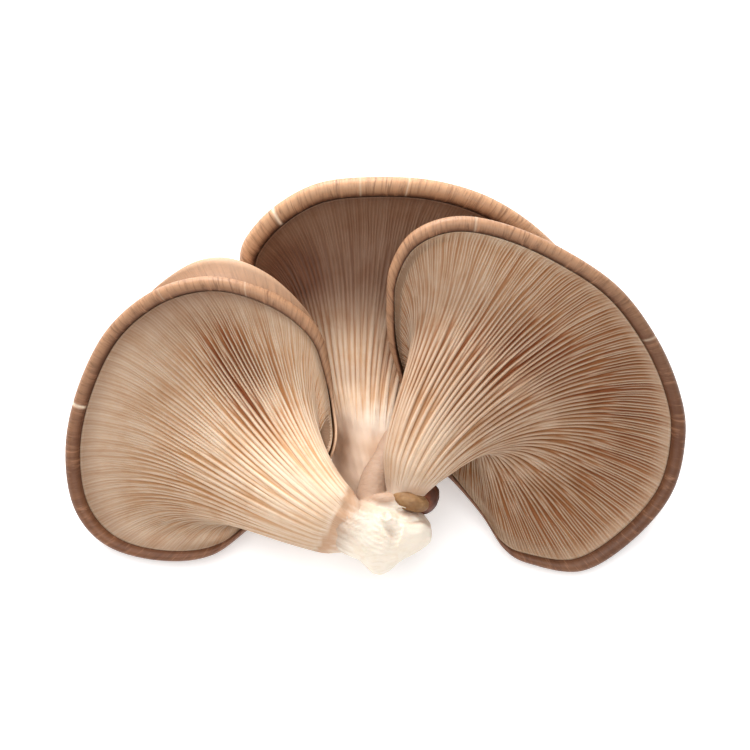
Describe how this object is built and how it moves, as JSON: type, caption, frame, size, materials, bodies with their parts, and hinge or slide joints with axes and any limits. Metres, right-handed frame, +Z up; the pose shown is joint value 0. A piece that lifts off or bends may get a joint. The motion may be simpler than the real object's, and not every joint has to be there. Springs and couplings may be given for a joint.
{
  "type": "oyster mushroom cluster",
  "caption": "Picked cluster of fan-shaped oyster mushrooms lying gills up, with brown caps, cream gills running down bent stems, and a torn white butt.",
  "frame": {"origin": "middle of the cluster's box, on the surface that its three caps lie on", "axes": "+X to the right across the two side caps, +Y away from the butt towards the far rim of the back cap, +Z up out of the gills"},
  "size_m": [0.165, 0.1028, 0.0607],
  "materials": {
    "cap_skin": "satin",
    "gill_flesh": "matte",
    "butt_flesh": "matte",
    "young_skin": "satin",
    "young_flesh": "matte"
  },
  "bodies": {
    "root": {"left_cap": "cap_skin", "left_gills_and_stem": "gill_flesh", "right_cap": "cap_skin", "right_gills_and_stem": "gill_flesh", "back_cap": "cap_skin", "back_gills_and_stem": "gill_flesh", "butt": "butt_flesh", "young_cap": "young_skin", "young_stem": "young_flesh"}
  },
  "joints": []
}
